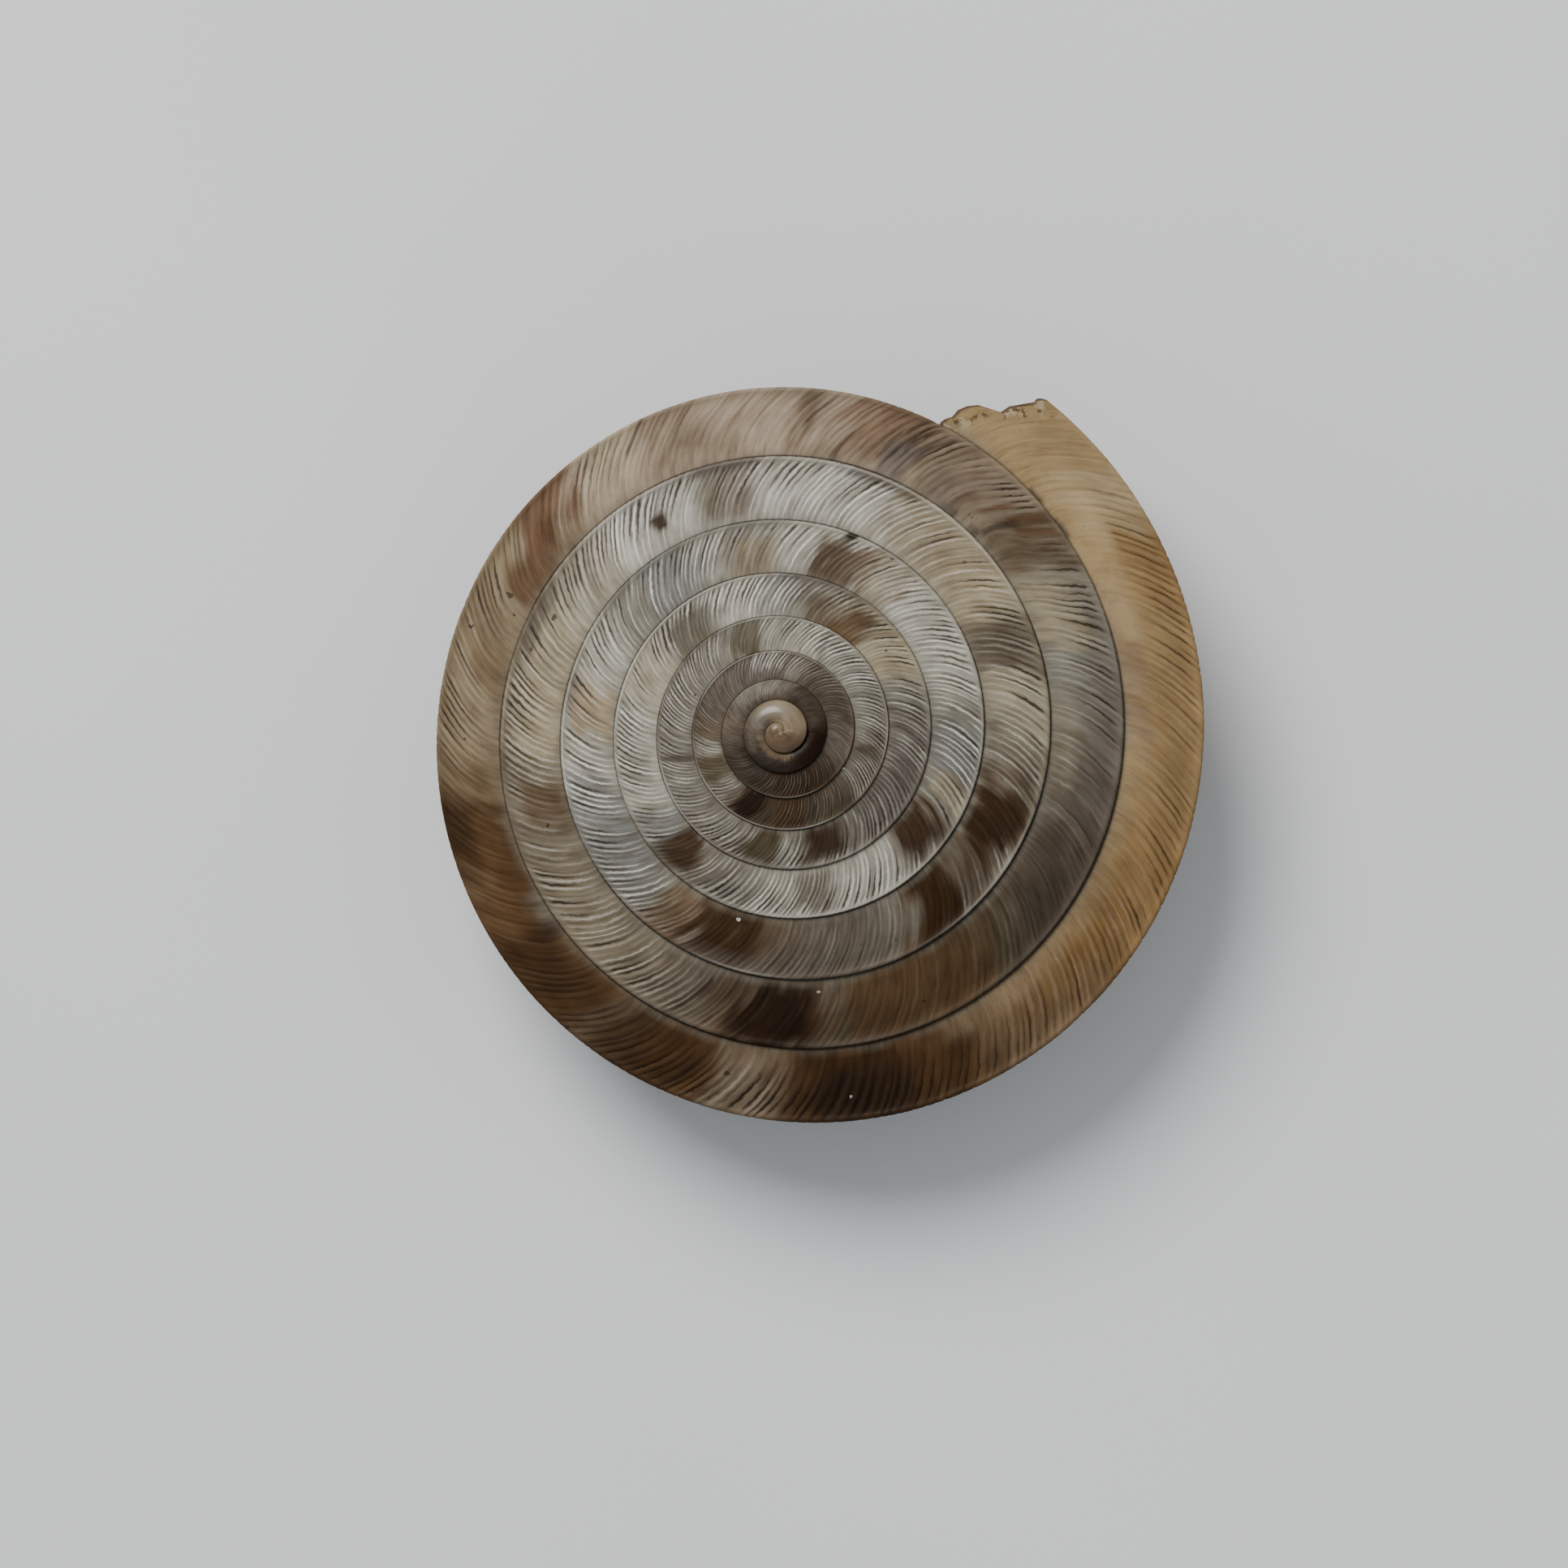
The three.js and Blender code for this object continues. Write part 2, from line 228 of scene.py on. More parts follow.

# Markings listed by whorl: azimuth and half-length in degrees, across from and to (0 and 1 unless
# it says otherwise), colour and strength.
MARKS = (
    (8, (
        (72, 8, 0.15, 1.5, "russet", 0.65), (62, 6, 0.1, 1.3, "taupe", 0.35), (86, 2, "brown", 0.6),
        (93, 6, 0, 1.3, "blush", 0.6), (110, 6, 0.2, 1.4, "fawn", 0.35), (123, 5, 0, 1.3, "cream", 0.6),
        (139, 7, 0.35, 1.5, "russet", 0.85), (146, 7, -0.1, 0.65, "russet", 0.8),
        (159, 5, 0.2, 1.3, "fawn", 0.4), (168, 4, -0.1, 0.6, "fawn", 0.8), (180, 7, 0, 1.4, "tan", 0.6),
        (200, 9, 0.3, 1.5, "sepia", 0.85), (206, 12, 0.02, 0.6, "brown", 0.9),
        (215, 5, 0.4, 1.3, "brown", 0.7), (216, 4, 0, 0.25, "grey", 0.6),
        (228, 10, 0.15, 1.5, "sepia", 0.75), (241, 4, 0, 1.2, "taupe", 0.7),
        (250, 10, 0.1, 1.5, "sepia", 0.75), (266, 7, -0.1, 1.4, "putty", 0.65),
        (283, 12, -0.1, 1.5, "sepia", 0.97), (284, 7, 0.3, 1.1, "black", 0.75),
        (298, 3, 0.3, 1.3, "sepia", 0.6), (332, 28, -0.3, 0.3, "cream", 0.25),
        (318, 14, 0.6, 1.5, "fawn", 0.25), (388, 9, 0.5, 1.5, "bronze", 0.5),
        (372, 12, -0.1, 0.35, "rose", 0.45), (397, 5, 0.15, 1.4, "honey", 0.8),
        (412, 10, -0.1, 1.5, "honey", 0.35), (63.5, 0.6, 0.4, 0.95, "black", 0.85),
        (66.5, 0.5, 0.3, 0.9, "black", 0.75), (69.5, 0.4, 0.45, 1, "black", 0.6),
        (394, 2, -0.1, 0.05, "black", 0.9), (401, 1.5, -0.1, 0.04, "sepia", 0.8),
    )),
    (7, (
        (411.5, 2.2, -0.3, 0.16, "black", 0.95), (405, 1.6, -0.3, 0.14, "black", 0.9),
        (409, 4, 0.3, 0.9, "taupe", 0.6), (403, 0.9, 0.45, 0.9, "russet", 0.9),
        (400, 0.7, 0.5, 0.95, "russet", 0.8), (396, 0.6, 0.55, 0.9, "black", 0.6),
        (410.5, 0.8, 0.1, 0.45, "sepia", 0.8), (414, 0.6, 0.35, 0.7, "black", 0.6),
        (416, 3, 0, 0.5, "mauve", 0.7),
    )),
    (8, (
        (66, 3, 0, 0.6, "mauve", 0.7),
    )),
    (7, (
        (419, 0.6, 0.5, 0.95, "black", 0.8), (415, 0.6, 0.6, 0.9, "black", 0.7), (80, 17, "white", 0.9),
        (85, 8, 0, 0.9, "chalk white", 0.7), (70, 9, 0.82, 1.1, "mauve", 0.85),
        (103, 6, 0.05, 0.86, "brown", 0.65), (103, 9, 0.84, 1.1, "mauve", 0.8),
        (124, 12, "chalk white", 0.5), (120, 1.8, 0.34, 0.6, "sepia", 0.95),
        (117, 1, 0.78, 0.88, "mauve", 0.9), (139, 6, "tan", 0.4), (158, 9, 0.74, 1.1, "taupe", 0.8),
        (176, 10, "cream", 0.85), (197, 6, -0.1, 0.7, "brown", 0.75), (226, 22, 0, 1.1, "putty", 0.5),
        (252, 6, -0.1, 0.6, "taupe", 0.8), (270, 9, 0, 1.1, "black", 0.95),
        (281, 3, -0.1, 0.5, "grey", 0.35), (298, 18, -0.1, 1.1, "brown", 0.8),
        (333, 16, 0.1, 1.1, "umber", 0.6), (357, 9, -0.1, 0.35, "cream", 0.25),
        (360, 20, 0.5, 1.1, "mauve", 0.45), (384, 7, -0.2, 0.7, "cream", 0.8),
        (398, 6, 0, 1.1, "brown", 0.6), (412, 8, 0, 1.1, "rose", 0.6), (402, 0.7, 0.1, 0.6, "black", 0.6),
        (406, 0.6, 0.25, 0.7, "russet", 0.8),
    )),
    (8, (
        (76, 0.5, 0.05, 0.5, "black", 0.5), (85, 0.5, 0.5, 0.95, "black", 0.5),
        (120, 0.5, 0.6, 1, "black", 0.6),
    )),
    (7, (
        (253, 0.5, 0.2, 0.9, "black", 0.6),
    )),
    (6, (
        (70, 9, -0.1, 0.9, "brown", 0.9), (72, 1.8, 0.86, 1.1, "black", 1.0), (84, 4, "white", 0.8),
        (98, 7, -0.1, 0.7, "ochre", 0.4), (111, 3, "white", 0.4), (124, 9, -0.1, 1, "slate", 0.85),
        (158, 8, "white", 0.5), (174, 7, 0, 0.9, "ochre", 0.7), (190, 6, "white", 0.2),
        (212, 20, 0, 1.1, "slate", 0.7), (241, 6, 0, 1.1, "fawn", 0.8),
        (255, 11, -0.1, 1.1, "sepia", 0.95), (282, 16, 0, 1.1, "taupe", 0.35),
        (313, 7.5, -0.1, 1.1, "sepia", 0.97), (325, 5, -0.1, 1, "taupe", 0.7),
        (339, 9, 0, 0.95, "sepia", 0.95), (354, 8, "taupe", 0.5), (382, 7, -0.1, 1.1, "taupe", 0.85),
        (410, 12, 0.1, 1, "tan", 0.7),
    )),
    (5, (
        (64, 12, -0.1, 0.7, "brown", 0.65), (78, 18, 0.76, 1.1, "mauve", 0.6),
        (82, 6, 0, 0.9, "taupe", 0.4), (94, 10, "slate", 0.5), (112, 8, "white", 0.7),
        (131, 11, -0.1, 0.75, "olive", 0.7), (157, 12, "cream", 0.6), (196, 8, 0.2, 0.8, "taupe", 0.4),
        (232, 8, 0, 0.95, "sepia", 0.85), (252, 10, "mauve", 0.5), (281, 7, 0.1, 0.9, "taupe", 0.8),
        (304, 12, -0.1, 1, "white", 0.7), (325, 8, 0, 0.9, "sepia", 0.9), (342, 5, 0.2, 1, "cream", 0.7),
        (355, 9, 0.1, 1.1, "slate", 0.8), (393, 18, "white", 0.9), (416, 7, "tan", 0.6),
        (218, 5, "slate", 0.6),
    )),
    (4, (
        (64, 3, 0.2, 1, "black", 0.6), (76, 12, "grey", 0.4), (88, 9, 0, 0.9, "olive", 0.3),
        (110, 9, -0.1, 0.95, "olive", 0.85), (158, 28, 0, 1.1, "mauve", 0.55), (195, 1.5, "sepia", 0.6),
        (225, 30, 0, 1.1, "mauve", 0.4), (263, 9.5, 0, 0.95, "olive", 0.97), (275, 5, "white", 0.4),
        (293, 11, 0.1, 0.9, "sepia", 0.85), (334, 28, 0, 1.1, "mauve", 0.8),
        (414, 9, -0.1, 0.85, "brown", 0.75),
    )),
    (3, (
        (78, 9, -0.2, 1, "grey", 0.5), (98, 10, 0.4, 1, "white", 0.7), (176, 6, 0.1, 0.9, "brown", 0.3),
        (194, 6, "grey", 0.8), (209, 8, 0.1, 0.9, "olive", 0.8), (229, 8, "grey", 0.7),
        (248, 9, 0, 1.1, "black", 0.95), (278, 8, "sepia", 0.75), (306, 10, "olive", 0.6),
        (333, 8, "grey", 0.5), (348, 4, 0.1, 0.8, "olive", 0.75), (385, 20, "grey", 0.5),
        (408, 12, "grey", 0.8),
    )),
    (2, (
        (250, 40, -0.1, 0.3, "black", 0.45), (288, 26, -0.1, 1.1, "sepia", 0.75), (351, 12, "mauve", 0.5),
        (118, 30, 0.3, 1, "grey", 0.6), (395, 28, 0, 0.95, "umber", 0.75),
    )),
    (1, (
        (110, 50, 0.25, 0.85, "grey", 0.5), (200, 22, 0.3, 0.9, "taupe", 0.55),
        (30, 25, 0.5, 1, "tan", 0.5), (255, 20, 0.5, 0.9, "umber", 0.5),
        (235, 45, -0.2, 0.4, "horn", 0.55), (262, 28, -0.2, 0.3, "fawn", 0.5),
        # The black marks at 300 and 345 degrees are dark colour with painted shadow, on the lower right of
        # the apex dome.
        (220, 50, 0.8, 1.2, "black", 0.4), (300, 40, 0.5, 1.2, "black", 0.5),
        (345, 20, -0.2, 1.2, "black", 0.35),
    )),
)
MARK_SLANT = 0.45

# Marks narrower than this many degrees lie along the grooves, and the others slant less. The ragged edges of
# them all are moved this far by each noise.
NARROW_MARK = 1
EDGE = 0.25
RIB_EDGE = 0.3

# Broad dark marks past the first whorls have a brown rim, which is this much longer and this strong.
DARK_MARKS = ("sepia", "black")
BROAD_MARK = 5
RIM_REACH = 1.4
RIM_STRENGTH = 0.6

# Clouds and a finer mottling, which is stronger on the first whorls. These have no ribs to count, so they
# have this many steps in a turn instead.
CLOUD_LEAST = 0.84
CLOUD_RANGE = 0.32
MOTTLE = 0.1
FIRST_MOTTLE = 0.12
APEX_CELLS = 36

# Hazes: grey in patches along the keel, grey along the suture, and cream below.
KEEL_HAZE = 0.45
KEEL_HAZE_LAST = 7.8
SUTURE_HAZE = 0.45
SUTURE_HAZE_EDGE = 0.03
SUTURE_HAZE_RANGE = (0.75, 0.25)
BASE_HAZE = 0.85

# How clearly the ribs stand out pale and the grooves dark. Where the wall is dark they hardly do, apart from
# patches of the early whorls. The browner the wall is, the less pale its ribs are.
EARLY_SHARE = 0.35
LEAST_CLEAN = 0.04
WARM_RIBS = 0.45
PALE_LOSSES = {"rough": 0.7, "broad": 0.6, "amber": 0.6, "crisp": -0.9}
DIRTY_LOSSES = {"broad": 0.1, "amber": 0.25}
CRISP_DIRT = 0.4
INWARD_DIRT = 0.3
UNDER_LOSS = 0.35

# How white the keel thread is along the coil, and how patchy: pale colour, partly a painted highlight of the
# thread's lit rim.
PALE_LIT_THREAD_TURNS = (2.2, 3.2, 5.6, 6.5, 7.5, 7.8, 8.2)
PALE_LIT_THREAD = (0, 0.4, 0.42, 0.3, 0.22, 0.08, 0.0)
THREAD_MEAN = 0.25
THREAD_PATCHES = 1.4

# The dark line of painted shade in the suture crease, on both sides of it. It is uneven, and fainter near the
# lip.
SUTURE_SHADE_MEAN = 0.65
SUTURE_SHADE_PATCHES = 0.45
FAINT_SHADE_LOSS = 0.45

# Colours of the layers of the shell's material, and of the floor, in daylight, 0 to 255.
TINTS = {
    "streak": (176, 160, 142), "hairline": (150, 134, 116), "cloud": (190, 182, 174),
    # The keel thread tint is pale colour and partly a painted highlight of the thread's lit rim.
    "rib back": (206, 202, 190), "groove": (84, 70, 58), "keel thread": (190, 186, 174),
    # The suture tint is painted shade in the crease between whorls.
    "suture": (34, 25, 18), "chalk": (160, 138, 102), "tinted lip": (126, 104, 64),
    "flaked lip": (186, 174, 146), "pitted lip": (66, 48, 28), "dust": (196, 190, 176),
    "dirt": (40, 28, 18), "floor": (212, 214, 216), "pale floor": (218, 220, 222),
}

# Noises of the materials: scale, detail and roughness. Those in the second list run along the growth lines,
# with so many units across the whorl and an offset.
GRAINS = {
    "streaks": (0.7, 2.0, 0.6), "hairlines": (2.6, 2.0, 0.6), "ragged grooves": (1.3, 3.0, 0.6),
    "clouds": (900.0, 4.0, 0.6), "lip patches": (2200.0, 3.0, 0.6), "lip pits": (3600.0, 2.0, 0.6),
    "floor": (30.0, 3.0, 0.5),
}
GROWTH_GRAINS = {"streaks": (2.2, 0.0), "hairlines": (1.2, 3.0), "ragged grooves": (8.0, 9.0)}

# What each layer makes of a value: between these two it goes from 0 to 1, or from one share to another.
RAMPS = {
    "streaks": (0.38, 0.66), "streaks below": (1.0, 1.1, 0.45, 0.15), "amber streaks": (8.8, 8.9, 1.0, 0.6),
    "hairlines": (0.52, 0.68, 0.0), "hairlines below": (1.0, 1.1, 0.25, 0.12),
    "clouds": (0.4, 0.7, 0.0, 0.35), "groove edge": (0.25, 0.75, -0.6, 0.6), "rib back": (-0.15, -0.95),
    "groove darkness": (0.0, 0.9, 0.0, 0.85), "thread inside": (0.93, 0.965),
    "thread outside": (1.0, 0.975),
    "chalk": (0.4, 0.62, 0.1, 0.6), "tinted lip": (0.42, 0.6, 0.0, 0.4), "flaked lip": (0.5, 0.4, 0.0, 0.35),
    "pitted lip": (0.3, 0.7), "lip pits": (0.6, 0.65, 0.0, 0.8), "lip edge": (0.97, 1.0, 0.0, 0.9),
    "dust": (0.54, 0.58, 0.0, 0.8), "dirt": (0.44, 0.4), "gloss": (1.2, 2.6, 0.25, 0.5),
    "uneven gloss": (0.3, 0.7, -0.05, 0.1), "coat": (1.3, 2.0, 0.5, 0.0), "floor": (0.3, 0.7),
}

# A groove is as wide as it is dirty: the cosine of the rib count from which it shows, and the soft edge.
CLEAN_GROOVE = 0.78
DIRTY_GROOVE = -0.5
GROOVE_EDGE = 0.38

# Specks: cells to the metre and radius in a cell. They are uneven in outline, and their edges are soft.
DUST_SPECKS = (900.0, 0.042)
DIRT_SPECKS = (1300.0, 0.1)
SPECK_UNEVENNESS = 3.5
SPECK_EDGE = (2.7, 2.5)

SPECULAR = 0.1
COAT_ROUGHNESS = 0.25
BUMP_DEPTH = 0.02
BUMP_STRENGTH = 0.6

# The floor, the light and the camera, in metres unless it says otherwise.
FLOOR_HALF = 0.6
WINDOW_PLACE = (-0.12, 0.2, 0.26)
WINDOW_TARGET = (0, 0, 0.004)
WINDOW_SIZE = 0.2
WINDOW_POWER = 1.5
WINDOW_COLOUR = (1.0, 0.98, 0.95)
SKY_COLOUR = (0.93, 0.96, 1.0, 1)
SKY_STRENGTH = 0.55

# The camera looks straight down, with its sizes in millimetres. The photograph is 1932 pixels wide and high,
# and the keel plane sets its scale.
PHOTO_WIDTH = 40.84
CAMERA_TARGET = (-0.93, -0.75)
KEEL_PLANE = 4.5
CAMERA_DISTANCE = 250.0
SENSOR = 36.0

rng = np.random.default_rng(7)


def smooth_step(value, low, high):
    part = np.clip((value - low) / (high - low), 0, 1)
    return part * part * (3 - 2 * part)


def zone(name, value):
    """1 where the value is well inside a zone, and 0 outside it."""
    starts, full, *ending = ZONES[name]
    inside = smooth_step(value, starts, full)
    return inside - smooth_step(value, *ending) if ending else inside


def lift(least, share):
    """From least to 1 as share goes from 0 to 1."""
    return least + (1 - least) * share


def cubic(before, here, there, after, part):
    """The smooth curve from here to there, with its slopes set by the two outer values."""
    slope_here, slope_there = (there - before) / 2, (after - here) / 2
    third = 2 * here - 2 * there + slope_here + slope_there
    second = 3 * there - 3 * here - 2 * slope_here - slope_there
    return ((third * part + second) * part + slope_here) * part + here


def along(values, turns):
    """The smooth curve through one value per turn."""
    values = np.asarray(values, float)
    last = len(values) - 1
    turns = np.clip(turns, 0, last)
    start = np.minimum(turns.astype(int), last - 1)
    before, after = np.maximum(start - 1, 0), np.minimum(start + 2, last)
    return cubic(values[before], values[start], values[start + 1], values[after], turns - start)


def drift(turns):
    """How much further out than the plain coil the later whorls are at this azimuth."""
    radius = along(KEEL_RADII, turns)
    azimuth = turns * TURN
    shift = DRIFT_PER_RADIUS * radius + DRIFT_PER_SQUARE * radius**2
    oval = OVAL_PER_SQUARE * radius**2 * np.cos(2 * (azimuth - OVAL_AZIMUTH))
    return shift * np.cos(azimuth - DRIFT_AZIMUTH) + oval


def keel_radius(turns):
    return along(KEEL_RADII, turns) + drift(turns)


def whorl_width(turns):
    inner = np.where(turns < 1, 0, keel_radius(np.maximum(turns - 1, 0)))
    return keel_radius(turns) - inner


def middle_radius(turns):
    return keel_radius(turns) - whorl_width(turns) / 2


def roundness(turns):
    """1 on the rounded first whorls, 0 from where the keel is full."""
    return 1 - zone("keeled", turns)


def seat(turns):
    """Just below the keel, where the next whorl is attached, as radius and height."""
    depth = (SUTURE_DEPTH + ROUND_SUTURE * roundness(turns)) * whorl_width(turns)
    return np.stack([keel_radius(turns), along(KEEL_HEIGHTS, turns) - depth], -1)


def top_section(turns, across):
    """The upper side as radius and height."""
    first = (turns < 1)[..., None]
    inner = np.where(first, np.array([0.0, APEX_HEIGHT]), seat(np.maximum(turns - 1, 0)))
    width = whorl_width(turns)
    keeled = 1 - roundness(turns)
    foot = along(KEEL_HEIGHTS, turns) - (keeled * KEEL_RISE + (1 - keeled) * ROUND_FOOT) * width
    radius = inner[..., 0] + across * (keel_radius(turns) - inner[..., 0])
    height = inner[..., 1] + across * (foot - inner[..., 1])
    height += 4 * (TOP_SWELL + ROUND_SWELL * roundness(turns)) * width * across * (1 - across)
    height += keeled * KEEL_RISE * width * np.interp(across, TOP_ACROSS[-4:], THREAD_PROFILE)
    return np.stack([radius, height], -1)


def under_corner(turns, across, up):
    umbilicus = UMBILICUS_SHARE * along(KEEL_RADII, turns) + drift(turns)
    base = along(BASE_HEIGHTS, turns)
    radius = umbilicus + across * (keel_radius(turns) - umbilicus)
    return np.stack([radius, base + up * (along(KEEL_HEIGHTS, turns) - base)], -1)


def under_section(turns, step):
    """The side, the base and the umbilicus wall, as radius and height.

    A step of 1 is one corner on from the seat. The last corner is on the whorl before.
    """
    corners = [seat(turns)]
    corners += [under_corner(turns, *corner) for corner in UNDER_CORNERS]
    corners.append(under_corner(turns - 1, *UNDER_CORNERS[ATTACH_CORNER - 1]))
    start = min(int(step), LAST_CORNER - 1)
    before, after = max(start - 1, 0), min(start + 2, LAST_CORNER)
    return cubic(corners[before], corners[start], corners[start + 1], corners[after], step - start)


def settle(section, turns):
    """Radius and height to a place in the leaning shell."""
    radius, height = section[..., 0], section[..., 1]
    azimuth = turns * TURN
    lean = LEAN_SLOPE * radius * np.cos(azimuth - LEAN_AZIMUTH)
    return np.stack([
        radius * np.cos(azimuth) + APEX_PLACE[0],
        radius * np.sin(azimuth) + APEX_PLACE[1],
        np.maximum(height + lean - FLOOR_HEIGHT, 0),
    ], -1)


def slant(turns):
    """How many turns a growth line falls back between the suture and the keel."""
    return np.interp(turns, SLANT_TURNS, SLANTS) * whorl_width(turns) / middle_radius(turns) / TURN


def rib_spacing(turns):
    """How many turns there are between two grooves."""
    return np.interp(turns, RIB_TURNS, RIB_SPACINGS) / (middle_radius(turns) * TURN)


def value_noise(x, y, seed):
    """Smooth noise from -1 to 1 with one bump per unit."""
    column, row = np.floor(x), np.floor(y)
    u, v = x - column, y - row
    u, v = u * u * (3 - 2 * u), v * v * (3 - 2 * v)

    def lattice(i, j):
        mixed = np.sin(i * 127.1 + j * 311.7 + seed * 74.7) * 43758.5453
        return mixed - np.floor(mixed)

    top = lattice(column, row) * (1 - u) + lattice(column + 1, row) * u
    bottom = lattice(column, row + 1) * (1 - u) + lattice(column + 1, row + 1) * u
    return 2 * (top * (1 - v) + bottom * v) - 1


def noise(name, coiled, across):
    """One of the named noises, at places along the coil and across the whorl."""
    per_coiled, per_across, seed = NOISES[name]
    return value_noise(coiled * per_coiled, across * per_across, seed)


def uneven(kind, own, drifting):
    """Strengths that differ from rib to rib and along the coil, from two noises."""
    mean, own_share, drifting_share, least = UNEVEN[kind]
    return np.clip(mean + own_share * own + drifting_share * drifting, least, 1)


def growth_rows():
    """Turns, running rib number and height of every row, from the apex to the lip."""
    rows = [(turns, 0.0, 0.0) for turns in np.arange(FIRST_TURNS, FIRST_RIB_TURNS, SMOOTH_ROW_TURNS)]
    grown, rib = FIRST_RIB_TURNS, 0
    while grown < LIP_TURNS:
        step = float(rib_spacing(np.array(grown))) * rng.uniform(*RIB_RANGE)
        for part, height in BROAD_RIB if grown > BROAD_RIB_TURNS else RIB:
            rows.append((grown + step * part, rib + part, height))
        grown += step
        rib += 1
    rows = [row for row in rows if row[0] < LIP_TURNS]
    rows.append((LIP_TURNS + PAST_LIP, float(rib), LAST_ROW_HEIGHT))
    return np.array(rows).T


def worn(turns, across, patch):
    """1 in an eroded patch beside the suture, given by its middle, its half-length and its outer edge."""
    middle, reach, outer = patch
    ragged = PATCH_RAGGED * reach * noise("patch ends", turns, across)
    lengthwise = 1 - smooth_step(np.abs(turns - middle) + ragged, PATCH_CORE * reach, reach)
    sideways = across + PATCH_WAVER * noise("patch side", turns, across)
    return lengthwise * (1 - smooth_step(sideways, outer - PATCH_FADE, outer))


class Grid:
    """Places and surface values of every row and column of the outside."""

    def __init__(self):
        self.grown, self.counts, self.heights = growth_rows()
        tops = [("tuck", 0.0)] + [("top", across) for across in TOP_ACROSS]
        unders = [("under", step / CORNER_STEPS) for step in range(CORNER_STEPS * LAST_CORNER + 1)]
        self.columns = tops + unders
        self.first_under = len(tops)
        self.last_column = len(self.columns) - 1
        self.column_across = np.array([
            1 + value / LAST_CORNER if kind == "under" else value for kind, value in self.columns
        ])
        self.chips = self.lip_chips()
        self.last_rows = np.searchsorted(self.grown, LIP_TURNS - self.chips)
        self.make_values()
        self.make_places()

    def lip_chips(self):
        """How far the broken lip is set back at each column, in turns."""
        under_across = 1 + np.arange(1, LAST_CORNER + 1) / LAST_CORNER
        chips = np.interp(self.column_across, [*TOP_ACROSS, *under_across], LIP_CHIPS + LIP_UNDER_CHIPS)
        jagged = rng.uniform(-LIP_ROUGHNESS, LIP_ROUGHNESS, len(chips))
        return (chips + jagged * np.minimum(1, self.column_across / LIP_CALM_ACROSS)).clip(0) / 360

    def make_values(self):
        """Grown turns, azimuth turns and rib count of each vertex, stopped at the broken lip."""
        rows, columns = len(self.grown), len(self.columns)
        self.row_of = np.minimum(np.arange(rows)[:, None], self.last_rows[None, :])
        stop = np.broadcast_to(LIP_TURNS - self.chips, (rows, columns))
        self.growth = np.minimum(self.grown[self.row_of], stop)
        self.count = np.minimum(self.counts[self.row_of], np.interp(stop, self.grown, self.counts))
        self.height = self.heights[self.row_of]
        self.behind_lip = (LIP_TURNS - self.chips - self.growth) * 360
        self.covered = self.growth < LIP_TURNS - 1
        self.across = np.broadcast_to(self.column_across, (rows, columns))
        self.rough = zone("rough", self.growth)
        waves = self.noise("waves") * zone("wavy", self.growth)
        waves = WAVINESS * rib_spacing(np.maximum(self.growth, FIRST_RIB_TURNS)) * waves
        waves += ROUGH_SWAY * self.rough * self.noise("sway")
        lag_share = np.minimum(self.across, 1) ** SLANT_POWER
        self.turns = np.maximum(self.growth - slant(self.growth) * lag_share + waves, 0)

    def noise(self, name):
        return noise(name, self.count, self.across)

    def rib_strength(self):
        """How strongly ribbed each vertex is, from 0 to 1."""
        grows = zone("ribbed", self.growth)
        weaker = 1 - WEAK_LOSS * (zone("weak ribs", self.turns) + zone("weak again", self.turns))
        late = zone("late ribs", self.growth)
        fade_start, fade_end = SUTURE_FADE
        off_suture = smooth_step(self.across, fade_start, fade_end + SUTURE_FADE_LATE * late)
        top = lift(SUTURE_RIBS - SUTURE_RIBS_LATE * late, off_suture)
        thread_loss = np.where(self.covered, COVERED_THREAD_LOSS, THREAD_LOSS)
        thread = 1 - thread_loss * zone("keel", self.across)
        below = 1 - BASE_LOSS * zone("base", self.across)
        by_lip = lift(LIP_RIBS, zone("behind lip", self.behind_lip))
        chalky = 1 - CHALKY_LOSS * worn(self.turns, self.across, CHALKY_PATCH)
        rough = 1 - ROUGH_LOSS * worn(self.turns, self.across, ROUGH_PATCH)
        return grows * weaker * top * thread * below * by_lip * chalky * rough

    def groove_strength(self):
        """How deep the groove nearest to each vertex is there. It differs from groove to groove."""
        groove = np.round(self.count)
        own, drifting = [noise(name, groove, self.across) for name in ("own grooves", "drifting grooves")]
        return uneven("grooves", own, drifting)

    def make_places(self):
        rows, columns = self.turns.shape
        section = np.zeros((rows, columns, 2))
        for number, (kind, value) in enumerate(self.columns):
            turns = self.turns[:, number]
            if kind == "under":
                section[:, number] = under_section(turns, value)
            else:
                section[:, number] = top_section(turns, np.full(rows, value))
            if kind == "tuck":
                section[:, number] -= TUCK * whorl_width(turns)[:, None] * np.array(TUCK_SHARES)
        self.section = section
        before, after = np.roll(section, 1, 1), np.roll(section, -1, 1)
        before[:, 0], after[:, -1] = section[:, 0], section[:, -1]
        tangent = after - before
        tangent /= np.maximum(np.linalg.norm(tangent, axis=-1, keepdims=True), TINY)
        self.inward = np.stack([tangent[..., 1], -tangent[..., 0]], -1)
        self.ribbed = self.rib_strength()
        self.groove = self.groove_strength()
        scale = TROUGH_SHARE * np.interp(self.growth, RIB_TURNS, RIB_SPACINGS)
        depth = scale * self.ribbed * self.groove * (1 - self.height)
        depth += UNEVENNESS * (1 + self.noise("uneven wall")) * self.ribbed
        depth += ROUGH_RELIEF * self.rough * zone("lumpy", self.across) * (1 + self.noise("lumps"))
        self.places = settle(section + self.inward * depth[..., None], self.turns)

    def index(self):
        """The vertex number of each row and column; rows past the broken lip share the lip's vertex."""
        return self.row_of * len(self.columns) + np.arange(len(self.columns))

    def corner_column(self, corner):
        return self.first_under + CORNER_STEPS * corner

    def row_at(self, turns):
        return int(np.searchsorted(self.grown, turns))


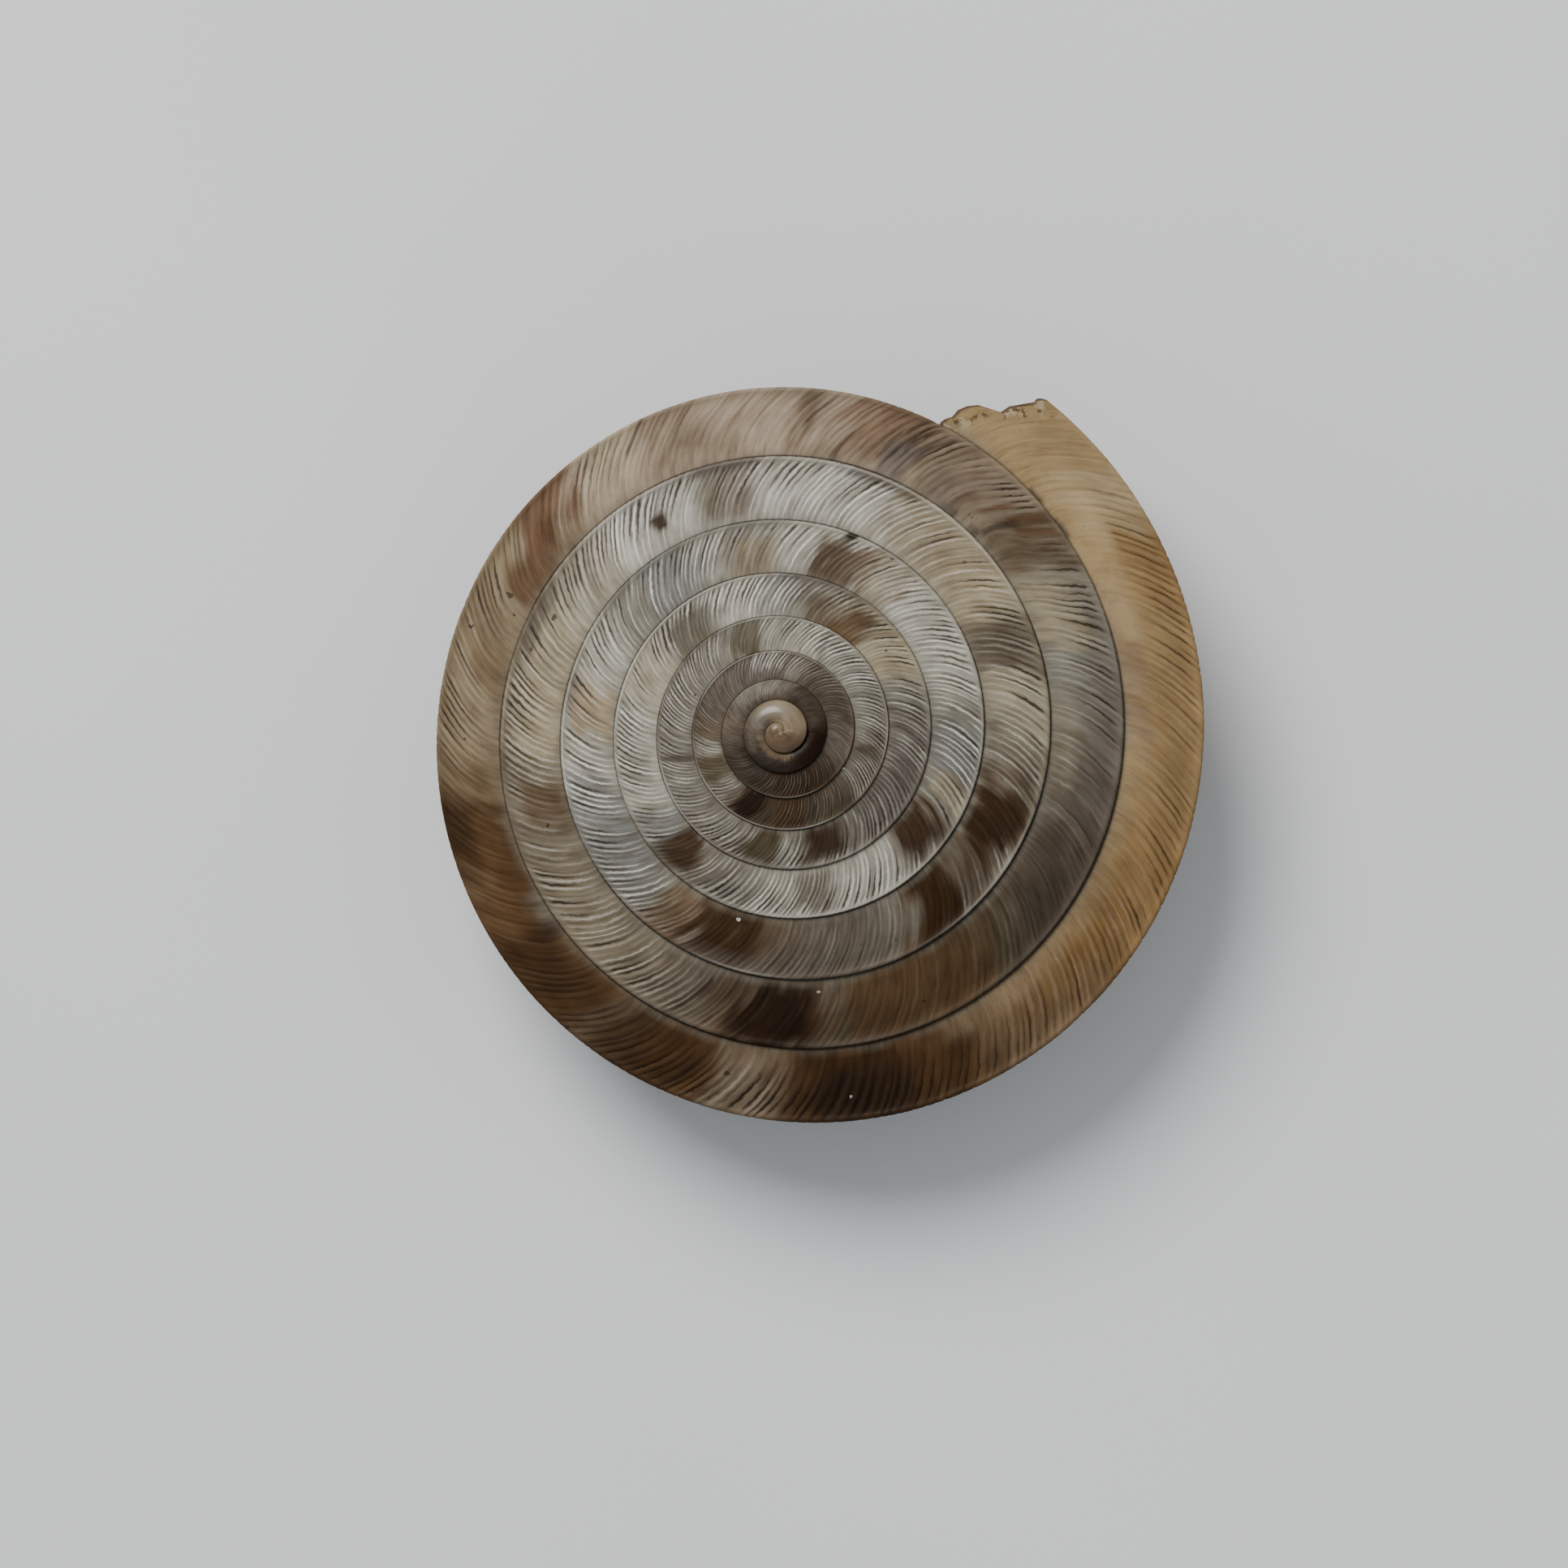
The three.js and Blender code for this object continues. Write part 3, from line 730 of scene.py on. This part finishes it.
def quads(index, rows, first_column, last_column):
    """Faces between each of these rows and the next one of them, with no corner twice."""
    before, after = rows[:-1, None], rows[1:, None]
    column = np.arange(first_column, last_column)[None, :]
    corners = ((before, column), (before, column + 1), (after, column + 1), (after, column))
    faces = np.stack([index[corner] for corner in corners], -1).reshape(-1, 4).tolist()
    faces = [list(dict.fromkeys(face)) for face in faces]
    return [face for face in faces if len(face) > 2]


def coarse_base(index, rows, kept, seam):
    """Faces that join every row at the seam to the kept rows at the next column."""
    faces = []
    for before, after in zip(kept, kept[1:]):
        between = rows[(rows >= before) & (rows <= after)]
        corners = index[between, seam].tolist() + index[[after, before], seam + 1].tolist()
        faces.append(list(dict.fromkeys(corners))[::-1])
    return faces


def shell_faces(grid):
    """The upper side has all rows. Below the seam only the grooves and the backs of the ribs have one."""
    index = grid.index()
    every_row = np.arange(len(grid.grown))
    first_open = grid.row_at(LIP_TURNS - PARIETAL_TURNS)
    first_umbilicus = grid.row_at(FIRST_UMBILICUS_TURN)
    groove_or_back = np.isclose(grid.counts * 2 % 1, 0) | (grid.grown < BROAD_RIB_TURNS)
    groove_or_back |= every_row == every_row[-1]
    open_rows = every_row[first_open:]
    kept = open_rows[groove_or_back[first_open:] | (open_rows == first_open)]
    first_exposed = int(kept[np.searchsorted(grid.grown[kept], LIP_TURNS - EXPOSED_TURNS)])
    covered, exposed = kept[kept <= first_exposed], kept[kept >= first_exposed]
    umbilicus_rows = every_row[first_exposed:first_umbilicus:-UMBILICUS_ROW_STEP][::-1]
    seat_edge = grid.corner_column(1)
    seam = grid.first_under + SEAM_STEPS
    faces = quads(index, every_row, 0, seat_edge)
    faces += quads(index, open_rows, seat_edge, seam)
    faces += coarse_base(index, open_rows, kept, seam)
    faces += quads(index, covered, seam + 1, grid.corner_column(HIDDEN_CORNER))
    faces += quads(index, exposed, seam + 1, grid.last_column)
    faces += quads(index, umbilicus_rows, grid.corner_column(ATTACH_CORNER), grid.last_column)
    return faces, index, umbilicus_rows


def pit_faces(grid, index, umbilicus_rows, pit):
    """Closes the top of the umbilicus."""
    rows = umbilicus_rows[grid.grown[umbilicus_rows] < FIRST_UMBILICUS_TURN + 1]
    rim = [int(index[row, grid.last_column]) for row in rows]
    side_columns = range(grid.last_column, grid.corner_column(ATTACH_CORNER) - 1, -1)
    side = [int(index[rows[0], column]) for column in side_columns]
    faces = [[pit, after, before] for before, after in zip(rim, rim[1:])]
    return faces + [[pit, before, after] for before, after in zip(side, side[1:])]


def inner_sheet(grid, index, first_vertex):
    """The inside of the wall as places and faces, with the rim that joins it to the outside.

    Its rows run from the lip backwards. The rows and columns of its vertices come with it.
    """
    columns = np.arange(1, len(grid.columns))
    last_row = len(grid.grown) - 1
    rows = list(range(last_row, grid.row_at(LIP_TURNS - CAVITY_TURNS), -INNER_ROW_STEP))
    places, faces = [], []
    for step, row in enumerate(rows):
        wall = np.interp(step, (0, LIP_WALL_ROWS), (LIP_WALL, WALL))
        section = grid.section[row, columns] + wall * grid.inward[row, columns]
        section[:, 0] = np.minimum(section[:, 0], keel_radius(grid.turns[row, columns]) - wall)
        places.append(settle(section, grid.turns[row, columns]))
    width = len(columns)
    numbers = first_vertex + np.arange(len(rows) * width).reshape(len(rows), width)
    sheet = np.vstack([index[last_row, columns][None, :], numbers]).tolist()
    for near, far in zip(sheet[1:], sheet[2:]):
        for side in range(width - 1):
            faces.append([near[side], far[side], far[side + 1], near[side + 1]])
    outer, rim = sheet[:2]
    for side in range(width - 1):
        faces.append([outer[side], outer[side + 1], rim[side + 1], rim[side]])
    middle = first_vertex + numbers.size
    places.append(places[-1].mean(0, keepdims=True))
    for side in range(width - 1):
        faces.append([middle, sheet[-1][side + 1], sheet[-1][side]])
    return np.concatenate(places), faces, np.repeat(rows, width), np.tile(columns, len(rows))


def linear(colour):
    """A daylight colour, 0 to 255, as linear light."""
    share = np.asarray(colour, float) / 255
    return np.where(share <= 0.04045, share / 12.92, ((share + 0.055) / 1.055) ** 2.4)


def wall_colour(name):
    return linear(COLOURS[name]) * DAYLIGHT


def blend(colour, name, weight):
    """The colours with a named one over them."""
    weight = weight[..., None]
    return colour * (1 - weight) + wall_colour(name) * weight


def rimmed_marks():
    """The marks, with a brown rim before each broad dark one: turns, reach, edges, colour and strength."""
    for whorl, marks in MARKS:
        for azimuth, reach, *edges, name, strength in marks:
            edges = edges or (0, 1)
            if name in DARK_MARKS and reach > BROAD_MARK and whorl > 2:
                yield whorl, azimuth, reach * RIM_REACH, edges, "brown", strength * RIM_STRENGTH
                reach *= 0.9
            yield whorl, azimuth, reach, edges, name, strength


def add_marks(colour, turns, across, count):
    level = np.minimum(across, 1) ** SLANT_POWER - 0.5**SLANT_POWER
    along_edges = turns + MARK_SLANT * slant(turns) * level
    along_grooves = turns + slant(turns) * level
    ragged = EDGE * noise("broad edge", count, across) + EDGE * noise("fine edge", count, across)
    ragged += RIB_EDGE * noise("rib edge", np.round(count), across)
    for whorl, azimuth, reach, (inner, outer), name, strength in rimmed_marks():
        narrow = reach < NARROW_MARK
        place = along_grooves if narrow else along_edges
        lengthwise = np.abs(place - whorl - azimuth / 360) * 360 / reach
        near = lengthwise < 2.2
        sideways = np.abs(across[near] - (inner + outer) / 2) / ((outer - inner) / 2)
        softness = 0.3 if narrow else 0.38
        weight = 1 - smooth_step(lengthwise[near] + ragged[near], 1 - softness, 1 + softness)
        weight *= 1 - smooth_step(sideways + ragged[near] * 0.6, 1 - softness, 1.3)
        colour[near] = blend(colour[near], name, weight * strength)


def add_haze(colour, turns, across, count):
    """A grey haze in patches along the keel, a pale one along the suture, and cream below."""
    by_keel = zone("by keel", across) * zone("keel patches", noise("keel haze", count, across))
    by_keel = by_keel * zone("hazy keel", turns) * (turns < KEEL_HAZE_LAST)
    edge = SUTURE_HAZE_EDGE * noise("suture edge", count, across)
    by_suture = (1 - zone("off suture", across + edge)) * zone("hazy suture", turns)
    mean, patchy = SUTURE_HAZE_RANGE
    by_suture = by_suture * (mean + patchy * noise("suture haze", count, across))
    colour = blend(colour, "mauve", KEEL_HAZE * by_keel)
    colour = blend(colour, "grey", SUTURE_HAZE * by_suture)
    return blend(colour, "cream", BASE_HAZE * zone("cream base", across))


def paint(turns, across, count):
    """The colour of the wall at each vertex, without the ribs."""
    stops = [stop for *stops, _ in GROUND for stop in stops]
    shades = np.array([wall_colour(name) for *stops, name in GROUND for _ in stops])
    drifted = turns + GROUND_DRIFT * noise("ground", count, across)
    colour = np.stack([np.interp(drifted, stops, shades[:, channel]) for channel in range(3)], -1)
    add_marks(colour, turns, across, count)
    stretched = count + APEX_CELLS * np.minimum(turns, FIRST_RIB_TURNS)
    cloud = 0.5 + 0.5 * noise("clouds", stretched, across)
    strength = MOTTLE + FIRST_MOTTLE * (1 - zone("even mottle", turns))
    mottle = 1 + strength * noise("mottle", stretched, across)
    colour = colour * (CLOUD_LEAST + CLOUD_RANGE * cloud[..., None]) * mottle[..., None]
    return add_haze(colour, turns, across, count)


def rib_looks(grid, colour):
    """How pale the ribs, how dirty the grooves and how white the keel thread (partly a painted highlight)
    are, at each vertex.
    """
    growth, across = grid.growth, grid.across
    early = EARLY_SHARE * zone("early ribs", growth) * zone("early patches", grid.noise("early ribs"))
    clean = lift(LEAST_CLEAN + early, zone("light", colour.mean(-1)))
    own = uneven("ribs", noise("own ribs", np.floor(grid.count), across), grid.noise("drifting ribs"))
    blueness = colour[..., 2] / np.maximum(colour[..., 0], TINY)
    pale = grid.ribbed * clean * own * lift(WARM_RIBS, zone("blue", blueness))
    for name, loss in PALE_LOSSES.items():
        pale = pale * (1 - loss * zone(name, growth))
    outward = lift(INWARD_DIRT, zone("outer part", across)) - UNDER_LOSS * zone("side", across)
    dirty = grid.ribbed * lift(INWARD_DIRT, clean) * outward * grid.groove
    dirty = dirty * (1 - sum(loss * zone(name, growth) for name, loss in DIRTY_LOSSES.items()))
    dirty = np.minimum(dirty + CRISP_DIRT * zone("crisp", growth) * grid.ribbed * outward, 1)
    patches = np.clip(THREAD_MEAN + THREAD_PATCHES * grid.noise("keel thread"), 0, 1)
    thread = np.interp(growth, PALE_LIT_THREAD_TURNS, PALE_LIT_THREAD) * patches
    return np.stack([pale, dirty, thread], -1)


def surface_looks(grid):
    """How dark the painted shade in the suture crease, how chalky the wall and how near the broken lip is, at
    each vertex.
    """
    outside = grid.covered * zone("suture shade outside", grid.across)
    suture = np.maximum(outside, 1 - zone("suture shade inside", grid.across)) * zone("suture", grid.growth)
    suture = suture * (SUTURE_SHADE_MEAN + SUTURE_SHADE_PATCHES * grid.noise("suture shade line"))
    suture = suture * (1 - FAINT_SHADE_LOSS * zone("faint suture shade", grid.turns))
    chalky = worn(grid.turns, grid.across, CHALKY_PATCH)
    return np.stack([suture, chalky, 1 - zone("behind break", grid.behind_lip)], -1)


def attach_values(mesh, colour, vectors):
    ground = mesh.attributes.new("ground", "FLOAT_COLOR", "POINT")
    ground.data.foreach_set("color", np.concatenate([colour, np.ones((len(colour), 1))], 1).ravel())
    for name, values in vectors.items():
        attribute = mesh.attributes.new(name, "FLOAT_VECTOR", "POINT")
        attribute.data.foreach_set("vector", values.ravel())


def put_in_scene(name, data):
    item = bpy.data.objects.new(name, data)
    bpy.context.scene.collection.objects.link(item)
    return item


def build_shell():
    grid = Grid()
    faces, index, umbilicus_rows = shell_faces(grid)
    pit = grid.turns.size
    faces += pit_faces(grid, index, umbilicus_rows, pit)
    inner_places, inner_faces, inner_row, inner_column = inner_sheet(grid, index, pit + 1)
    faces += inner_faces
    pit_place = np.array([[*APEX_PLACE, PIT_HEIGHT - FLOOR_HEIGHT]])
    places = np.concatenate([grid.places.reshape(-1, 3), pit_place, inner_places])

    # The pit and the inside of the wall have no ribs.
    colour = paint(grid.turns, grid.across, grid.count)
    plain = np.zeros((len(inner_places) + 1, 3))
    plain_growth = plain.copy()
    plain_growth[1:-1, 0] = grid.count[inner_row, inner_column]
    plain_growth[1:-1, 1] = grid.column_across[inner_column]
    growth = np.stack([grid.count, grid.across, grid.turns], -1)
    vectors = {
        "growth": np.concatenate([growth.reshape(-1, 3), plain_growth]),
        "surface": np.concatenate([surface_looks(grid).reshape(-1, 3), plain]),
        "ribs": np.concatenate([rib_looks(grid, colour).reshape(-1, 3), plain]),
    }
    colour = np.concatenate([colour.reshape(-1, 3), plain + wall_colour("honey")])

    used = np.unique(np.concatenate([np.asarray(face) for face in faces]))
    renumbered = np.full(len(places), -1)
    renumbered[used] = np.arange(len(used))
    faces = [[int(renumbered[corner]) for corner in face] for face in faces]
    mesh = bpy.data.meshes.new("shell_surface")
    mesh.from_pydata((places[used] * MM).tolist(), [], faces)
    attach_values(mesh, colour[used], {name: values[used] for name, values in vectors.items()})
    mesh.polygons.foreach_set("use_smooth", [True] * len(mesh.polygons))
    mesh.update()
    return put_in_scene("shell_surface", mesh)


def tint(name):
    return (*linear(TINTS[name]), 1)


class Shader:
    """Short ways to add and link the nodes of one material."""

    def __init__(self, name):
        self.material = bpy.data.materials.new(name)
        self.material.use_nodes = True
        self.tree = self.material.node_tree
        self.surface = self.tree.nodes["Principled BSDF"]
        self.coordinates = self.tree.nodes.new("ShaderNodeTexCoord").outputs["Object"]

    def put(self, socket, value):
        if isinstance(value, bpy.types.NodeSocket):
            self.tree.links.new(value, socket)
        else:
            socket.default_value = value

    def node(self, kind, values=(), **settings):
        """A new node with these settings, and these values or links on its first sockets."""
        node = self.tree.nodes.new("ShaderNode" + kind)
        for name, setting in settings.items():
            setattr(node, name, setting)
        for socket, value in zip(node.inputs, values):
            self.put(socket, value)
        return node

    def attribute(self, name, output):
        return self.node("Attribute", attribute_name=name).outputs[output]

    def parts(self, name):
        """The three values of a vector attribute."""
        return self.node("SeparateXYZ", [self.attribute(name, "Vector")]).outputs[:3]

    def math(self, operation, *values):
        return self.node("Math", values, operation=operation).outputs[0]

    def times(self, first, second):
        return self.math("MULTIPLY", first, second)

    def ramp(self, value, low, high, to_low=0.0, to_high=1.0):
        """Smoothly from to_low to to_high as value goes from low to high."""
        numbers = (value, low, high, to_low, to_high)
        return self.node("MapRange", numbers, interpolation_type="SMOOTHSTEP").outputs[0]

    def fade(self, name, value, *to_high):
        """One of the named ramps."""
        return self.ramp(value, *RAMPS[name], *to_high)

    def mix(self, share, first, second, blend_type="MIX"):
        node = self.node("Mix", data_type="RGBA", blend_type=blend_type)
        for socket, value in zip((node.inputs["Factor"], *node.inputs[6:8]), (share, first, second)):
            self.put(socket, value)
        return node.outputs[2]

    def noise(self, vector, scale, detail=2.0, roughness=0.5):
        node = self.node("TexNoise", [vector])
        for name, value in (("Scale", scale), ("Detail", detail), ("Roughness", roughness)):
            node.inputs[name].default_value = value
        return node.outputs[0]

    def grain(self, name):
        return self.noise(self.coordinates, *GRAINS[name])

    def spots(self, scale, radius):
        """1 in small uneven spots, one per cell."""
        node = self.node("TexVoronoi", [self.coordinates])
        node.inputs["Scale"].default_value = scale
        grain = self.noise(self.coordinates, scale * 7)
        distance = self.math("MULTIPLY_ADD", grain, SPECK_UNEVENNESS * radius, node.outputs["Distance"])
        outer, inner = SPECK_EDGE
        return self.ramp(distance, radius * outer, radius * inner)

    def bump(self, height, distance, strength):
        node = self.node("Bump")
        for name, value in (("Height", height), ("Distance", distance), ("Strength", strength)):
            self.put(node.inputs[name], value)
        return node.outputs[0]


class Wall(Shader):
    """The material of the shell, layer on layer over the ground colour."""

    def __init__(self):
        super().__init__("shell_wall")
        self.colour = self.attribute("ground", "Color")
        self.count, self.across, self.turns = self.parts("growth")
        self.suture, self.eroded, self.broken = self.parts("surface")
        self.pale, self.dirty, self.white = self.parts("ribs")
        self.hairlines = self.growth_noise("hairlines")
        self.clouds = self.grain("clouds")
        self.add_streaks()
        self.add_ribs()
        self.add_keel_and_suture()
        self.add_wear()
        self.add_specks()
        self.finish()

    def growth_noise(self, name):
        """Noise that runs along the growth lines, from suture to keel."""
        stretch, offset = GROWTH_GRAINS[name]
        vector = self.node("CombineXYZ", (self.count, self.times(self.across, stretch), offset)).outputs[0]
        return self.noise(vector, *GRAINS[name])

    def cover(self, name, share, blend_type="MIX"):
        self.colour = self.mix(share, self.colour, tint(name), blend_type)

    def add_streaks(self):
        """Soft streaks and hairlines along the growth lines, and clouds."""
        below = self.fade("streaks below", self.across)
        streaky = self.times(self.fade("streaks", self.growth_noise("streaks")), below)
        streaky = self.times(streaky, self.fade("amber streaks", self.turns))
        self.cover("streak", streaky, "MULTIPLY")
        below = self.fade("hairlines below", self.across)
        self.cover("hairline", self.fade("hairlines", self.hairlines, below), "MULTIPLY")
        self.cover("cloud", self.fade("clouds", self.clouds), "MULTIPLY")

    def add_ribs(self):
        """Dark grooves between ribs with a pale back. The count is whole in a groove and half on a rib."""
        ragged = self.fade("groove edge", self.growth_noise("ragged grooves"))
        wave = self.math("COSINE", self.math("MULTIPLY_ADD", self.count, TURN, ragged))
        reach = self.math("MULTIPLY_ADD", self.dirty, DIRTY_GROOVE, CLEAN_GROOVE)
        groove = self.ramp(wave, reach, self.math("ADD", reach, GROOVE_EDGE))
        self.cover("rib back", self.times(self.fade("rib back", wave), self.times(self.pale, 0.85)))
        darkness = self.times(groove, self.fade("groove darkness", self.dirty))
        self.cover("groove", darkness, "MULTIPLY")

    def add_keel_and_suture(self):
        """The pale keel thread, partly a painted highlight of its lit rim, and the dark line of painted shade
        in the suture crease beside it.
        """
        thread = self.times(self.fade("thread inside", self.across), self.fade("thread outside", self.across))
        self.cover("keel thread", self.times(thread, self.white))
        self.cover("suture", self.times(self.suture, 0.9))

    def add_wear(self):
        """Chalk where the surface is eroded, and dirt and bare chalk along the broken lip."""
        self.cover("chalk", self.times(self.eroded, self.fade("chalk", self.clouds)))
        patches = self.grain("lip patches")
        for name in ("tinted lip", "flaked lip"):
            self.cover(name, self.times(self.broken, self.fade(name, patches)))
        pits = self.fade("lip pits", self.grain("lip pits"))
        pitted = self.times(self.fade("pitted lip", self.broken), pits)
        self.cover("pitted lip", self.math("MAXIMUM", pitted, self.fade("lip edge", self.broken)))

    def add_specks(self):
        """Specks of dust and of dirt, in patches."""
        self.cover("dust", self.times(self.spots(*DUST_SPECKS), self.fade("dust", self.clouds)))
        dirt = self.times(self.spots(*DIRT_SPECKS), self.fade("dirt", self.clouds))
        self.cover("dirt", self.times(dirt, 0.8))

    def finish(self):
        """The colour, the gloss, which is highest on the worn apex, and the fine grain."""
        inputs = self.surface.inputs
        self.put(inputs["Base Color"], self.colour)
        gloss = self.fade("gloss", self.turns)
        self.put(inputs["Roughness"], self.math("ADD", gloss, self.fade("uneven gloss", self.clouds)))
        inputs["Specular IOR Level"].default_value = SPECULAR
        self.put(inputs["Coat Weight"], self.fade("coat", self.turns))
        inputs["Coat Roughness"].default_value = COAT_ROUGHNESS
        fine, coarse = self.times(self.hairlines, 0.6), self.times(self.clouds, 0.4)
        grain = self.math("ADD", fine, coarse)
        self.put(inputs["Normal"], self.bump(grain, BUMP_DEPTH * MM, BUMP_STRENGTH))


def floor_material():
    shader = Shader("plain_floor")
    inputs = shader.surface.inputs
    shade = shader.fade("floor", shader.grain("floor"))
    shader.put(inputs["Base Color"], shader.mix(shade, tint("floor"), tint("pale floor")))
    inputs["Roughness"].default_value = 0.9
    return shader.material


def add_floor():
    corners = ((-1, -1), (1, -1), (1, 1), (-1, 1))
    mesh = bpy.data.meshes.new("floor")
    mesh.from_pydata([(x * FLOOR_HALF, y * FLOOR_HALF, 0) for x, y in corners], [], [(0, 1, 2, 3)])
    floor = put_in_scene("floor", mesh)
    floor.data.materials.append(floor_material())


def add_window():
    """A soft light from the upper left."""
    light = bpy.data.lights.new("window", "AREA")
    light.shape = "DISK"
    light.size = WINDOW_SIZE
    light.energy = WINDOW_POWER
    light.color = WINDOW_COLOUR
    item = put_in_scene("window", light)
    item.location = WINDOW_PLACE
    aim = Vector(WINDOW_TARGET) - Vector(WINDOW_PLACE)
    item.rotation_euler = aim.to_track_quat("-Z", "Y").to_euler()


def add_sky():
    world = bpy.data.worlds.new("room")
    world.use_nodes = True
    background = world.node_tree.nodes["Background"]
    background.inputs["Color"].default_value = SKY_COLOUR
    background.inputs["Strength"].default_value = SKY_STRENGTH
    bpy.context.scene.world = world


def add_camera():
    camera = bpy.data.cameras.new("camera")
    camera.sensor_fit = "HORIZONTAL"
    camera.sensor_width = SENSOR
    camera.lens = SENSOR * CAMERA_DISTANCE / PHOTO_WIDTH
    camera.clip_start = 0.01
    camera.clip_end = 10
    item = put_in_scene("camera", camera)
    item.location = [length * MM for length in (*CAMERA_TARGET, KEEL_PLANE + CAMERA_DISTANCE)]
    bpy.context.scene.camera = item


shell = build_shell()
shell.data.materials.append(Wall().material)
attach(shell, "root")
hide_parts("shell")
add_floor()
add_window()
add_sky()
add_camera()
